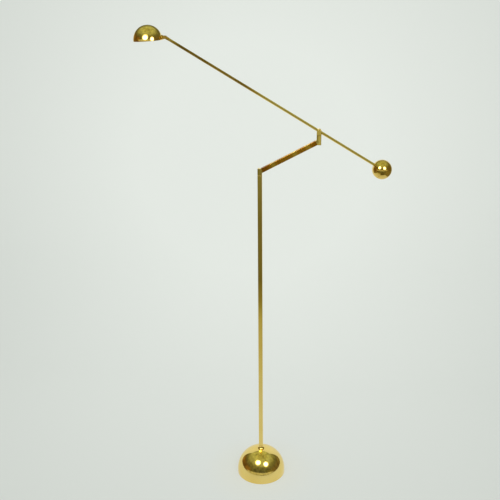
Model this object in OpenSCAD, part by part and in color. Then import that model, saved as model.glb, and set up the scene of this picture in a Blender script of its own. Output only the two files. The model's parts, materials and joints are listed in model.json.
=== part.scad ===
// Counterbalance floor lamp in polished brass, in millimetres, +Z up.
// The origin is the middle of the base's underside on the floor.
// +X points to the counterweight, and the arm lies in the XZ plane at rest.

/* [Base] */
// Diameter of the domed base
base_d = 190; // [170:1:230]
// Height of the straight skirt under the dome
base_skirt_h = 10; // [8:1:20]
// Wall of the spun base shell
base_wall = 1.5; // [1:0.1:2.5]
// Height of the shell's rim above the floor
rim_lift = 1; // [0.5:0.1:1.4]
// Thickness of the felt under the base
felt_t = 2; // [1.6:0.1:3]
// Thickness of the steel plate that closes the base
plate_t = 2.5; // [2.4:0.1:4]
// Radial gap between the plate and the shell
plate_gap = 0.6; // [0.3:0.1:1.5]
// Height of the cast ballast
ballast_h = 40; // [34:1:48]
// Radial gap between the ballast and the shell's skirt
ballast_gap = 8.5; // [6:0.5:16]
// Diameter of the spacer tube between ballast and dome
spacer_d = 16; // [14:0.5:24]

/* [Base fastening] */
// Outside diameter of the hollow threaded pipe
pipe_d = 10; // [9:0.1:10.5]
// Bore of the threaded pipe
pipe_bore = 7; // [5:0.1:7.5]
// Length of thread that stands below the nut
pipe_tail = 2; // [1:0.5:4]
// Width across flats of the pipe's nut
pipe_nut_w = 15; // [14:0.5:18]
// Height of the pipe's nut
pipe_nut_h = 5; // [4:0.5:7]
// Diameter of the washer over the nut
pipe_washer_d = 24; // [20:0.5:26]
// Thickness of the washer over the nut
pipe_washer_t = 1.5; // [1:0.1:2.5]
// Diameter of the nut's recess in the ballast
recess_d = 30; // [28:1:40]
// Depth of the nut's recess in the ballast
recess_h = 16; // [15:1:22]
// Number of screws that hold the plate
plate_screw_n = 3; // [3:1:6]
// Thread diameter of a plate screw
plate_screw_d = 4; // [3:0.1:5]
// Length of a plate screw
plate_screw_len = 12; // [10:1:16]
// Head diameter of a plate screw
plate_screw_head_d = 8; // [7:0.1:9]
// Head height of a plate screw
plate_screw_head_h = 2.2; // [1.8:0.1:2.3]
// Pitch circle of the plate screws
plate_screw_circle = 120; // [90:1:136]

/* [Cord inlet] */
// Height of the cord inlet above the floor
inlet_z = 13; // [12:0.5:18]
// Bore of the inlet bushing
inlet_bore = 7; // [6:0.1:7.5]
// Neck diameter of the inlet bushing
inlet_neck_d = 9.6; // [9:0.1:11]
// Flange diameter of the inlet bushing
inlet_flange_d = 13; // [12:0.5:15]
// Flange thickness of the inlet bushing
inlet_flange_t = 2; // [1.5:0.1:3]
// Diameter of the snap ring inside the shell
inlet_ring_d = 11.2; // [11:0.1:12]
// Thickness of the snap ring inside the shell
inlet_ring_t = 1.5; // [1:0.1:2.5]
// Width of the cord channel in the ballast
channel_w = 9; // [8:0.5:12]
// Height of the cord channel in the ballast
channel_h = 13; // [12:0.5:15]
// Length of the terminal block in the channel
terminal_len = 22; // [16:1:30]
// Height of the terminal block
terminal_h = 9; // [8:0.5:11]
// Distance of the terminal block from the base's axis
terminal_y = 26; // [22:1:40]

/* [Post] */
// Width of the square tube
post_w = 16; // [15:0.1:19]
// Wall of the square tube
post_wall = 1.3; // [1:0.1:1.6]
// Corner radius of the square tube
corner_r = 1; // [0.5:0.1:1.2]
// Height of the post's top, where the crank swivels
swivel_z = 1238; // [900:1:1400]
// Height of the flared collar over the dome
collar_h = 12; // [11:0.5:20]
// Lip of the collar's neck around the post
collar_lip = 0.5; // [0:0.1:1.5]
// Radial width of the collar's flare
collar_flare = 4.5; // [2:0.5:8]
// Radius of the collar's hollow flare
flare_r = 12; // [9:0.5:12]
// Length of the plug in the post's foot
foot_plug_h = 25; // [18:1:40]
// Length of thread that the pipe has in the foot plug
pipe_grip = 20; // [12:1:22]

/* [Swivels] */
// Diameter of the hollow swivel spindles
spindle_d = 10; // [9.5:0.1:10.5]
// Bore of the swivel spindles
spindle_bore = 5; // [4.5:0.1:5.5]
// Step from a spindle's journal to its threaded ends
spindle_step = 1; // [0.8:0.1:1.2]
// Length of the bearing plug in the post's head
bearing_h = 22; // [16:1:40]
// Length of thread that a spindle has in the crank's foot
spindle_grip = 10; // [6:0.5:11]
// Thickness of the thrust washers at the swivels
thrust_t = 0.8; // [0.5:0.1:1.5]
// Setback of the thrust washers from the tube's faces
thrust_setback = 0.5; // [0.2:0.1:1]
// Thickness of the steel washer under a bearing
spindle_washer_t = 1; // [0.8:0.1:1.4]
// Height of a spindle's nut
spindle_nut_h = 4.5; // [3.5:0.1:4.6]
// Thread that stands below a spindle's nut
spindle_tail = 1; // [0.5:0.1:1.2]

/* [Crank] */
// Height of the crank's foot on the post
foot_h = 23.2; // [23:0.1:30]
// Height of the link's axis over the foot's underside, at the post's axis
link_rise = 13.2; // [12.5:0.1:14]
// Distance between the two swivel axes
crank_reach = 204; // [140:1:280]
// Slope of the crank's link
crank_angle = 28.1; // [20:0.1:34]
// Depth of the stub's underside below the link's lower corner
stub_lip = 0.5; // [0.3:0.1:2]
// Height of the crank's stub under the fork
stub_h = 32.5; // [32:0.5:50]
// Height of the fork's bearing in the stub
stub_bearing_h = 16; // [10:0.5:16]
// Thickness of the cap that closes the stub
stub_cap_t = 2; // [1.5:0.1:2.4]
// Height of the wire's hole above the stub's underside
stub_wire_z = 6.5; // [6:0.1:7]

/* [Fork and arm] */
// Diameter of the round arm
rod_d = 9.5; // [8.6:0.1:10]
// Wall of the front arm tube
tube_wall = 1; // [0.8:0.1:1.2]
// Distance from the fork's pin to the shade's hinge
front_len = 606; // [400:1:760]
// Distance from the fork's pin to the middle of the counterweight
rear_len = 253.5; // [180:0.5:300]
// Slope of the arm at rest
arm_slope = 30.7; // [10:0.1:34]
// Steepest slope that the fork lets the arm take
arm_slope_max = 38; // [36:0.1:40]
// Thickness of the fork's floor at its edges
fork_lip = 0.9; // [0.6:0.1:2]
// Diameter of the fork's pin
pin_d = 5; // [4:0.1:5.4]
// Head diameter of the fork's pin
pin_head_d = 9; // [8:0.1:10]
// Head height of the fork's pin
pin_head_h = 2.2; // [1.5:0.1:3]
// Width across flats of the pin's cap nut
pin_nut_w = 8; // [7.6:0.1:9]
// Height of the hexagon of the pin's cap nut
pin_nut_h = 3.5; // [3:0.1:5]
// Thickness of the friction washers beside the hub
friction_t = 0.6; // [0.4:0.1:0.8]
// Shoulder of the hub around the arm
hub_shoulder = 2.75; // [2.5:0.05:3.5]
// Distance from the hub's pin to the ends of the arm's tubes
hub_flat = 7; // [6.5:0.1:7.2]
// Length of the hub's spigots in the arm
spigot_len = 18; // [12:1:30]

/* [Counterweight] */
// Diameter of the ball
ball_d = 68; // [56:0.5:80]
// Wall of the ball's shells
ball_wall = 1.2; // [0.8:0.1:2]
// Diameter of the ball's iron core
core_d = 44; // [36:0.5:50]
// Length of the ball's iron core
core_len = 50; // [44:0.5:54]
// Length of the arm past the ball's middle
core_grip = 16; // [8:1:20]
// Diameter of the set screw in the ball
set_screw_d = 4; // [3:0.1:5]
// Length of the set screw in the ball
set_screw_len = 14; // [10:0.5:15]
// Distance of the set screw from the ball's middle, towards the pin
set_screw_x = 14; // [10:0.5:17]

/* [Shade hinge] */
// Distance from the arm tube's end to the hinge
tip_len = 13; // [12:0.5:18]
// Thickness of the collar on the arm's end
tip_collar_t = 3; // [2:0.1:4]
// Rim of the collar around the arm tube
tip_collar_rim = 0.5; // [0.2:0.1:1]
// Length of the turning stem inside the arm tube
tip_stem_len = 22; // [16:1:30]
// Radius of the hinge's round ends
eye_r = 5.5; // [5:0.1:6]
// Thickness of the hinge's tongue
tongue_t = 4.8; // [4:0.1:6]
// Thickness of each cheek of the hinge's clevis
cheek_t = 3; // [2.4:0.1:4]
// Diameter of the hinge's pin
hinge_pin_d = 3; // [2.5:0.1:3.5]
// Head diameter of the hinge's pin
hinge_head_d = 5.5; // [5:0.1:7]
// Head height of the hinge's pin
hinge_head_h = 1.8; // [1.2:0.1:2.5]
// Width across flats of the hinge's nut
hinge_nut_w = 5.5; // [5.5:0.1:7]
// Height of the hinge's nut
hinge_nut_h = 2.4; // [2:0.1:3]
// Distance from the hinge to the shade's wall
knuckle_reach = 10.5; // [10.2:0.1:16]
// Diameter of the boss against the shade
boss_d = 15; // [14:0.1:15.4]
// Thickness of the boss against the shade
boss_t = 3.6; // [3:0.1:3.9]
// Diameter of the clevis's hollow stud
clevis_stud_d = 7; // [6.6:0.1:7.4]
// Bore of the clevis's hollow stud
clevis_bore = 4.4; // [4.2:0.1:4.6]

/* [Shade] */
// Diameter of the shade
shade_d = 98.5; // [92:0.5:120]
// Height of the shade's straight skirt
shade_skirt_h = 2; // [1:0.1:3]
// Wall of the spun shade
shade_wall = 1; // [0.7:0.1:1.5]
// Height of the hinge above the shade's rim
rim_drop = 8; // [7.9:0.1:10]
// Tilt of the shade at rest, with its hinge side up
shade_tilt = 3; // [0:0.5:10]

/* [Lamp holder and bulb] */
// Diameter of the ceramic lamp holder
holder_d = 13; // [12.4:0.1:13.4]
// Length of the ceramic lamp holder
holder_len = 18; // [16:0.5:22]
// Depth of the bulb's seat in the holder
holder_seat_h = 5; // [4:0.5:6]
// Wall of the holder's brass cap
cap_wall = 1; // [0.7:0.1:1.2]
// Thickness of the cap's end
cap_end_t = 2.5; // [2:0.1:3]
// Depth of the cap over the holder
cap_depth = 6; // [4:0.5:9]
// Height of the nut inside the shade
stud_nut_h = 3; // [2.5:0.1:4]
// Width across flats of the nut inside the shade
stud_nut_w = 11; // [10.4:0.1:12]
// Diameter of the bulb's glass
bulb_d = 10; // [9.4:0.1:11]
// Length of the bulb's glass outside the holder
bulb_len = 24; // [21:0.5:28]
// Wall of the bulb's glass
bulb_wall = 0.9; // [0.7:0.1:1.1]
// Diameter of the bulb's foot
bulb_foot_d = 8.4; // [8:0.1:9]
// Diameter of the bulb's contact pins
bulb_pin_d = 1; // [0.8:0.1:1.2]
// Spacing of the bulb's contact pins
bulb_pin_gap = 4; // [3.6:0.1:4.4]
// Length of the bulb's contact pins
bulb_pin_len = 6; // [5:0.5:8]
// Diameter of the coiled filament
filament_d = 1.4; // [1.1:0.1:1.8]
// Length of the coiled filament
filament_len = 9; // [7:0.5:11]
// Diameter of the filament's support wires
support_d = 0.7; // [0.5:0.1:1]

/* [Switch] */
// Height of the switch above the shade's rim
switch_rise = 5.2; // [5:0.1:7]
// Diameter of the switch's body
switch_d = 8.4; // [8:0.1:9]
// Length of the switch's body
switch_len = 11; // [9:0.5:13]
// Diameter of the switch's threaded bush
switch_bush_d = 5.6; // [5.2:0.1:6]
// Diameter of the switch's round nut
switch_nut_d = 8.4; // [8:0.1:9]
// Height of the switch's round nut
switch_nut_h = 2; // [1.5:0.1:3]
// Diameter of the turning shaft
shaft_d = 2.6; // [2.2:0.1:3]
// Depth of the shaft inside the switch
shaft_depth = 6; // [4:0.5:8]
// Diameter of the knob
knob_d = 9.4; // [9:0.1:10]
// Height of the knob
knob_h = 8.5; // [7:0.5:11]
// Number of flutes around the knob
knob_flutes = 18; // [12:1:24]
// Diameter of a flute on the knob
flute_d = 1; // [0.7:0.1:1.2]

/* [Wiring and clearances] */
// Diameter of the wire inside the lamp
wire_d = 3.2; // [2.8:0.1:3.4]
// Radial play between the wire and the holes it runs through
wire_play = 0.5; // [0.4:0.05:0.6]
// Swell of the wire at its bends
bend_swell = 0.2; // [0.1:0.1:0.3]
// Radial clearance of a running fit
run_gap = 0.05; // [0.03:0.01:0.08]
// Clearance of pieces that seat in each other
seat_gap = 0.1; // [0.05:0.01:0.15]
// Clearance of pieces that turn past each other
spin_gap = 0.35; // [0.3:0.05:0.5]

/* [Hidden] */
$fn = 96;
fine_fn = 4 * $fn;
over = 1;

brass = [0.83, 0.66, 0.28];
brass_tan = [0.66, 0.45, 0.16];
steel = [0.62, 0.63, 0.65];
iron = [0.23, 0.23, 0.24];
black = [0.09, 0.09, 0.09];
felt_green = [0.16, 0.24, 0.17];
ceramic_white = [0.92, 0.90, 0.85];
clear_glass = [0.85, 0.90, 0.92, 0.4];

base_r = base_d / 2;
base_in_r = base_r - base_wall;
dome_z = rim_lift + base_skirt_h;
apex_z = dome_z + base_r;
plate_r = base_in_r - plate_gap;
plate_top = felt_t + plate_t;
ballast_r = base_in_r - ballast_gap;
ballast_top = plate_top + ballast_h;
recess_top = plate_top + recess_h;
pipe_hole_d = pipe_d + 2 * seat_gap;
nut_z = recess_top - pipe_washer_t - pipe_nut_h;
pipe_z = nut_z - pipe_tail;
wire_low_z = plate_top + wire_d;
inlet_ring_top = inlet_z + inlet_ring_d / 2 - dome_z;
inlet_face = sqrt(base_in_r * base_in_r - inlet_ring_top * inlet_ring_top) - seat_gap;
inlet_end = inlet_face - inlet_ring_t;
inlet_flange_y = base_r + seat_gap;

collar_top = apex_z + collar_h;
collar_neck_r = post_w / 2 + collar_lip;
collar_r = collar_neck_r + collar_flare;
collar_sink = base_r - sqrt(base_r * base_r - collar_r * collar_r);
post_in = post_w - 2 * post_wall;
plug_w = post_in - 2 * seat_gap;

stud_d = spindle_d - 2 * spindle_step;
journal_hole_d = spindle_d + 2 * run_gap;
stud_hole_d = stud_d + 2 * seat_gap;
turn_d = post_in - 2 * spin_gap;
spindle_nut_w = turn_d * cos(30);
thrust_d = post_w - 2 * thrust_setback;
wire_hole_d = wire_d + 2 * wire_play;

foot_z = swivel_z + thrust_t;
link_z = foot_z + link_rise;
link_setback = post_w / 2 / cos(crank_angle);
link_len = crank_reach / cos(crank_angle);
link_corner = link_setback * sin(crank_angle) + post_w / 2 * cos(crank_angle);
stub_z = link_z + crank_reach * tan(crank_angle) - link_corner - stub_lip;
stub_top = stub_z + stub_h;
chamber_h = stub_h - stub_bearing_h;
chamber_d = turn_d + 2 * spin_gap;

hub_len = rod_d + seat_gap;
hub_d = rod_d + 2 * hub_shoulder;
fork_gap = hub_len + 2 * (friction_t + seat_gap);
fork_z = stub_top + thrust_t;
rod_hang = rod_d / 2 / cos(arm_slope_max) + spin_gap + seat_gap;
end_sweep = norm([hub_flat, rod_d / 2]) * sin(arm_slope_max + atan2(rod_d / 2, hub_flat));
fork_floor = max(hub_d / 2, end_sweep) + spin_gap;
fork_crest = (fork_floor - rod_hang) / tan(arm_slope_max);
fork_edge = rod_hang + post_w / 2 * tan(arm_slope_max);
fork_pin_h = fork_edge + fork_lip;
fork_grip = fork_pin_h - rod_hang - stud_d / 2 * tan(arm_slope_max);
pin_z = fork_z + fork_pin_h;

tube_bore = rod_d - 2 * tube_wall;
spigot_d = tube_bore - 2 * seat_gap;
tube_end = front_len - tip_len;
tip_stem_d = tube_bore - 2 * run_gap;
tip_collar_d = rod_d + 2 * tip_collar_rim;
ball_r = ball_d / 2;
ball_in_r = ball_r - ball_wall;
rod_hole_d = rod_d + 2 * seat_gap;

hinge_x = crank_reach - front_len * cos(arm_slope);
hinge_z = pin_z + front_len * sin(arm_slope);
clevis_gap = tongue_t + 2 * seat_gap;
clevis_w = clevis_gap + 2 * cheek_t;
slot_depth = eye_r + 2 * spin_gap;

shade_r = shade_d / 2;
shade_in_r = shade_r - shade_wall;
shade_axis_x = -knuckle_reach - shade_r;
stud_hole_shade_d = clevis_stud_d + 2 * seat_gap;
nut_corner_r = stud_nut_w / 2 / cos(30);
nut_rise = rim_drop - shade_skirt_h + nut_corner_r;
nut_relief = shade_in_r - sqrt(shade_in_r * shade_in_r - nut_rise * nut_rise) + seat_gap;
nut_x = knuckle_reach + shade_wall + nut_relief;
cap_x = nut_x + stud_nut_h + seat_gap;
stud_end = cap_x + cap_end_t;
holder_x = stud_end + seat_gap;
cap_d = holder_d + 2 * (seat_gap + cap_wall);
bulb_x = holder_x + holder_len;
bulb_foot_h = holder_seat_h - seat_gap;
bulb_r = bulb_d / 2;
bulb_void_r = bulb_r - bulb_wall;
filament_z = (bulb_len - filament_len) / 2;

switch_z = switch_rise - rim_drop;
switch_top = switch_rise - shade_skirt_h + switch_d / 2;
switch_face = sqrt(shade_in_r * shade_in_r - switch_top * switch_top) - seat_gap;
switch_bush_end = shade_r + switch_nut_h + seat_gap;
knob_y = switch_bush_end + spin_gap;

module along_x() { rotate([0, 90, 0]) children(); }
module along_y() { rotate([-90, 0, 0]) children(); }
module at_stub() { translate([crank_reach, 0, 0]) children(); }
module at_link() { translate([0, 0, link_z]) rotate([0, 90 - crank_angle, 0]) children(); }
module at_arm() { translate([crank_reach, 0, pin_z]) rotate([0, arm_slope, 0]) children(); }
module at_hinge() { translate([hinge_x, 0, hinge_z]) rotate([0, -shade_tilt, 0]) children(); }
module at_holder(x) { translate([-x, 0, 0]) rotate([0, -90, 0]) children(); }
module at_switch(y) { translate([shade_axis_x, y, switch_z]) along_y() children(); }

// Dome of one radius on a straight skirt, standing on z = 0
module dome(r, skirt) {
    rotate_extrude() {
        square([r, skirt]);
        translate([0, skirt]) intersection() {
            circle(r = r);
            square(r);
        }
    }
}

// Square bar with round corners, standing on z = 0
module bar(w, h, r) {
    linear_extrude(height = h) {
        square([w - 2 * r, w], center = true);
        square([w, w - 2 * r], center = true);
        for (x = [-1, 1], y = [-1, 1])
            translate([x * (w / 2 - r), y * (w / 2 - r)]) circle(r = r);
    }
}

module ring(d_out, d_in, h) {
    difference() {
        cylinder(h = h, d = d_out);
        translate([0, 0, -over]) cylinder(h = h + 2 * over, d = d_in);
    }
}

module hex_nut(w, h, bore) {
    difference() {
        cylinder(h = h, d = w / cos(30), $fn = 6);
        translate([0, 0, -over]) cylinder(h = h + 2 * over, d = bore);
    }
}

// Round bar between two points
module strut(a, b, d) {
    v = b - a;
    translate(a) rotate([0, acos(v.z / norm(v)), atan2(v.y, v.x)]) cylinder(h = norm(v), d = d);
}

// Wire along a run of points, with round bends
module wire(points) {
    for (i = [1 : len(points) - 1]) strut(points[i - 1], points[i], wire_d);
    for (i = [1 : len(points) - 2]) translate(points[i]) sphere(d = wire_d + bend_swell);
}

// Half of a hollow ball, over z = 0
module half_ball(r, r_in) {
    rotate_extrude() intersection() {
        difference() {
            circle(r = r);
            circle(r = r_in);
        }
        square(r);
    }
}

// Hollow spindle: threaded top, journal and threaded tail, with z = 0 at the journal's foot
module spindle(tail, journal, grip) {
    difference() {
        union() {
            translate([0, 0, -tail]) cylinder(h = tail + journal + grip, d = stud_d);
            cylinder(h = journal, d = spindle_d);
        }
        translate([0, 0, -tail - over])
            cylinder(h = tail + journal + grip + 2 * over, d = spindle_bore);
    }
}

module plate_screw_places() {
    for (i = [0 : plate_screw_n - 1])
        rotate([0, 0, (i + 1 / 2) * 360 / plate_screw_n - 90])
            translate([plate_screw_circle / 2, 0, felt_t]) children();
}

module plate_screw(gap) {
    cylinder(h = plate_screw_len + gap, d = plate_screw_d + 2 * gap);
    translate([0, 0, -gap])
        cylinder(h = plate_screw_head_h, d1 = plate_screw_head_d + 2 * gap, d2 = plate_screw_d + 2 * gap);
}

module base_shell() {
    color(brass) difference() {
        translate([0, 0, rim_lift]) dome(base_r, base_skirt_h);
        translate([0, 0, rim_lift - over]) dome(base_in_r, base_skirt_h + over);
        translate([0, 0, dome_z]) cylinder(h = base_r + over, d = pipe_hole_d);
        translate([0, base_in_r - inlet_ring_t, inlet_z]) along_y()
            cylinder(h = base_wall + inlet_ring_t + over, d = inlet_neck_d + 2 * seat_gap);
    }
}

module felt_pad() {
    color(felt_green) cylinder(h = felt_t, r = plate_r);
}

module base_plate() {
    color(steel) difference() {
        translate([0, 0, felt_t]) cylinder(h = plate_t, r = plate_r);
        plate_screw_places() plate_screw(seat_gap);
    }
}

module base_ballast() {
    color(iron) difference() {
        translate([0, 0, plate_top]) cylinder(h = ballast_h, r = ballast_r);
        cylinder(h = ballast_top + over, d = pipe_hole_d);
        cylinder(h = recess_top, d = recess_d);
        translate([-channel_w / 2, 0, 0]) cube([channel_w, base_r, plate_top + channel_h]);
        plate_screw_places() plate_screw(seat_gap);
    }
}

module plate_screws() {
    color(steel) plate_screw_places() plate_screw(0);
}

module ballast_spacer() {
    color(steel) intersection() {
        translate([0, 0, ballast_top]) ring(spacer_d, pipe_hole_d, base_r);
        translate([0, 0, rim_lift]) dome(base_in_r - seat_gap, base_skirt_h);
    }
}

module base_pipe() {
    color(steel) translate([0, 0, pipe_z]) ring(pipe_d, pipe_bore, collar_top + pipe_grip - pipe_z);
}

module pipe_washer() {
    color(steel) translate([0, 0, recess_top - pipe_washer_t])
        ring(pipe_washer_d, pipe_hole_d, pipe_washer_t);
}

module pipe_nut() {
    color(steel) translate([0, 0, nut_z]) hex_nut(pipe_nut_w, pipe_nut_h, pipe_hole_d);
}

module cord_bushing() {
    color(black) translate([0, 0, inlet_z]) along_y() difference() {
        union() {
            translate([0, 0, inlet_flange_y]) cylinder(h = inlet_flange_t, d = inlet_flange_d);
            translate([0, 0, inlet_end])
                cylinder(h = inlet_flange_y + inlet_flange_t - inlet_end, d = inlet_neck_d);
            translate([0, 0, inlet_end]) cylinder(h = inlet_ring_t, d = inlet_ring_d);
        }
        translate([0, 0, inlet_end - over]) cylinder(h = base_wall + base_r, d = inlet_bore);
    }
}

module terminal_block() {
    color(ceramic_white) difference() {
        translate([-channel_w / 2 + seat_gap, terminal_y, plate_top])
            cube([channel_w - 2 * seat_gap, terminal_len, terminal_h]);
        for (y = [1 / 3, 2 / 3])
            translate([0, terminal_y + y * terminal_len, plate_top + terminal_h / 2])
                cylinder(h = terminal_h, d = wire_d);
    }
}

module post_collar() {
    flare_z = collar_h + collar_sink;
    color(brass) difference() {
        translate([0, 0, apex_z - collar_sink]) rotate_extrude() difference() {
            square([collar_r, flare_z]);
            translate([collar_neck_r + flare_r, flare_z]) circle(r = flare_r);
        }
        translate([0, 0, dome_z]) sphere(r = base_r + seat_gap);
        translate([0, 0, dome_z]) cylinder(h = base_r + flare_z, d = pipe_hole_d);
    }
}

module post_tube() {
    color(brass) translate([0, 0, collar_top]) difference() {
        bar(post_w, swivel_z - collar_top, corner_r);
        translate([0, 0, -over]) bar(post_in, swivel_z - collar_top + 2 * over, corner_r);
    }
}

module post_foot_plug() {
    color(brass) translate([0, 0, collar_top]) difference() {
        bar(plug_w, foot_plug_h, corner_r);
        translate([0, 0, -over]) cylinder(h = foot_plug_h + 2 * over, d = pipe_hole_d);
    }
}

module post_bearing() {
    color(brass) translate([0, 0, swivel_z - bearing_h]) difference() {
        bar(plug_w, bearing_h, corner_r);
        translate([0, 0, -over]) cylinder(h = bearing_h + 2 * over, d = journal_hole_d);
    }
}

module base_wire() {
    color(black) wire([[0, terminal_y, wire_low_z], [0, 0, wire_low_z], [0, 0, swivel_z]]);
}

module post_thrust_washer() {
    color(black) translate([0, 0, swivel_z]) ring(thrust_d, spindle_d + 2 * spin_gap, thrust_t);
}

// Square bar along the link's axis, between two distances from the post's axis
module link_bar(from, to, w) {
    at_link() translate([0, 0, from]) bar(w, to - from, corner_r);
}

module crank_foot() {
    color(brass) difference() {
        union() {
            translate([0, 0, foot_z]) bar(post_w, foot_h, corner_r);
            link_bar(0, post_w, post_w);
        }
        link_bar(link_setback, 2 * post_w, 2 * post_w);
        translate([0, 0, foot_z - over]) cylinder(h = spindle_grip + over, d = stud_hole_d);
        translate([0, 0, foot_z]) cylinder(h = link_rise, d = wire_hole_d);
        at_link() cylinder(h = post_w, d = wire_hole_d);
        translate([0, 0, link_z]) sphere(d = wire_hole_d + bend_swell);
    }
}

// Space for the fork's nut, bored from the stub's underside
module stub_chamber() {
    at_stub() translate([0, 0, stub_z - over]) cylinder(h = chamber_h + over, d = chamber_d);
}

module crank_link() {
    color(brass_tan) difference() {
        link_bar(link_setback, link_len - link_setback, post_w);
        link_bar(0, link_len, post_in);
        stub_chamber();
    }
}

module crank_stub() {
    color(brass) difference() {
        union() {
            at_stub() translate([0, 0, stub_z]) bar(post_w, stub_h, corner_r);
            link_bar(link_len - post_w, link_len, post_w);
        }
        link_bar(link_len - 2 * post_w, link_len - link_setback, 2 * post_w);
        at_stub() translate([0, 0, stub_z - over]) cylinder(h = stub_h + 2 * over, d = journal_hole_d);
        stub_chamber();
        at_stub() translate([-post_w, 0, stub_z + stub_wire_z]) along_x()
            cylinder(h = post_w, d = wire_hole_d);
    }
}

module crank_spindle() {
    tail = spindle_washer_t + spindle_nut_h + spindle_tail;
    color(steel) translate([0, 0, swivel_z - bearing_h]) spindle(tail, bearing_h + thrust_t, spindle_grip);
}

module crank_spindle_washer() {
    color(steel) translate([0, 0, swivel_z - bearing_h - spindle_washer_t])
        ring(turn_d, stud_hole_d, spindle_washer_t);
}

module crank_spindle_nut() {
    color(steel) translate([0, 0, swivel_z - bearing_h - spindle_washer_t - spindle_nut_h])
        hex_nut(spindle_nut_w, spindle_nut_h, stud_hole_d);
}

module stub_cap() {
    color(brass) at_stub() translate([0, 0, stub_z]) cylinder(h = stub_cap_t, d = chamber_d - 2 * seat_gap);
}

module crank_wire() {
    bend_x = crank_reach - post_w;
    wire_z = stub_z + stub_wire_z;
    color(black) wire([
        [0, 0, swivel_z],
        [0, 0, link_z],
        [bend_x, 0, link_z + bend_x * tan(crank_angle)],
        [crank_reach - post_w / 2, 0, wire_z],
        [crank_reach, 0, wire_z],
        [crank_reach, 0, fork_z + fork_grip]
    ]);
}

module fork_thrust_washer() {
    color(black) at_stub() translate([0, 0, stub_top]) ring(thrust_d, spindle_d + 2 * spin_gap, thrust_t);
}

module fork_head() {
    half_w = post_w / 2;
    slot_top = half_w + over;
    color(brass) at_stub() translate([0, 0, pin_z]) difference() {
        rotate([90, 0, 0]) linear_extrude(height = post_w, center = true) {
            circle(r = half_w);
            translate([-half_w, -fork_pin_h]) square([post_w, fork_pin_h]);
        }
        rotate([90, 0, 0]) linear_extrude(height = fork_gap, center = true) polygon([
            [-half_w, -fork_edge], [-fork_crest, -fork_floor], [fork_crest, -fork_floor],
            [half_w, -fork_edge], [half_w + over, -fork_edge], [half_w + over, slot_top],
            [-half_w - over, slot_top], [-half_w - over, -fork_edge]
        ]);
        translate([0, -post_w, 0]) along_y() cylinder(h = 2 * post_w, d = pin_d + 2 * seat_gap);
        translate([0, 0, -fork_pin_h - over]) cylinder(h = fork_pin_h, d = stud_hole_d);
    }
}

module fork_spindle() {
    tail = spindle_washer_t + spindle_nut_h + spindle_tail;
    color(steel) at_stub() translate([0, 0, stub_top - stub_bearing_h])
        spindle(tail, stub_bearing_h + thrust_t, fork_grip);
}

module fork_spindle_washer() {
    color(steel) at_stub() translate([0, 0, stub_top - stub_bearing_h - spindle_washer_t])
        ring(turn_d, stud_hole_d, spindle_washer_t);
}

module fork_spindle_nut() {
    color(steel) at_stub()
        translate([0, 0, stub_top - stub_bearing_h - spindle_washer_t - spindle_nut_h])
            hex_nut(spindle_nut_w, spindle_nut_h, stud_hole_d);
}

module fork_pin() {
    half_w = post_w / 2;
    slot_w = pin_head_h / 2;
    color(brass) at_stub() translate([0, -half_w, pin_z]) along_y() difference() {
        union() {
            translate([0, 0, -pin_head_h]) cylinder(h = pin_head_h, d = pin_head_d);
            cylinder(h = post_w + pin_nut_h, d = pin_d);
        }
        translate([-pin_head_d, -slot_w / 2, -pin_head_h - over])
            cube([2 * pin_head_d, slot_w, over + slot_w]);
    }
}

module fork_pin_nut() {
    color(brass) at_stub() translate([0, post_w / 2, pin_z]) along_y() difference() {
        union() {
            cylinder(h = pin_nut_h, d = pin_nut_w / cos(30), $fn = 6);
            translate([0, 0, pin_nut_h]) dome(pin_nut_w / 2, seat_gap);
        }
        translate([0, 0, -over]) cylinder(h = pin_nut_h + over + seat_gap, d = pin_d + 2 * seat_gap);
    }
}

module friction_washers() {
    color(black) at_stub() for (y = [-fork_gap / 2, fork_gap / 2 - friction_t])
        translate([0, y, pin_z]) along_y() ring(hub_d, pin_d + 2 * seat_gap, friction_t);
}

module arm_hub() {
    spigot_end = hub_flat + spigot_len;
    color(brass) at_arm() difference() {
        union() {
            intersection() {
                translate([0, -hub_len / 2, 0]) along_y() cylinder(h = hub_len, d = hub_d);
                cube([2 * hub_flat, 2 * hub_len, 2 * hub_d], center = true);
            }
            translate([-spigot_end, 0, 0]) along_x() cylinder(h = 2 * spigot_end, d = spigot_d);
        }
        translate([0, -hub_len, 0]) along_y() cylinder(h = 2 * hub_len, d = pin_d + 2 * run_gap);
        translate([-spigot_end - over, 0, 0]) along_x()
            cylinder(h = over + spigot_len, d = wire_hole_d);
    }
}

module front_tube() {
    color(brass) at_arm() translate([-tube_end, 0, 0]) along_x() ring(rod_d, tube_bore, tube_end - hub_flat);
}

module rear_rod() {
    rod_len = rear_len + core_grip - hub_flat;
    color(brass) at_arm() translate([hub_flat, 0, 0]) along_x() difference() {
        cylinder(h = rod_len, d = rod_d);
        translate([0, 0, -over]) cylinder(h = spigot_len + seat_gap + over, d = tube_bore);
    }
}

module ball_inner_half() {
    color(brass) at_arm() difference() {
        translate([rear_len, 0, 0]) rotate([0, -90, 0]) half_ball(ball_r, ball_in_r);
        translate([rear_len - ball_d, 0, 0]) along_x() cylinder(h = ball_d, d = rod_hole_d);
        translate([rear_len - set_screw_x, 0, -ball_d])
            cylinder(h = ball_d, d = set_screw_d + 2 * seat_gap);
    }
}

module ball_outer_half() {
    color(brass) at_arm() translate([rear_len, 0, 0]) along_x() half_ball(ball_r, ball_in_r);
}

module ball_core() {
    color(iron) at_arm() difference() {
        translate([rear_len, 0, 0]) along_x() rotate_extrude() difference() {
            intersection() {
                circle(r = ball_in_r - seat_gap);
                translate([0, -core_len / 2]) square([core_d / 2, core_len]);
            }
            translate([0, -core_len]) square([rod_hole_d / 2, core_len + core_grip + seat_gap]);
        }
        translate([rear_len - set_screw_x, 0, -ball_d])
            cylinder(h = ball_d, d = set_screw_d + 2 * seat_gap);
    }
}

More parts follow.
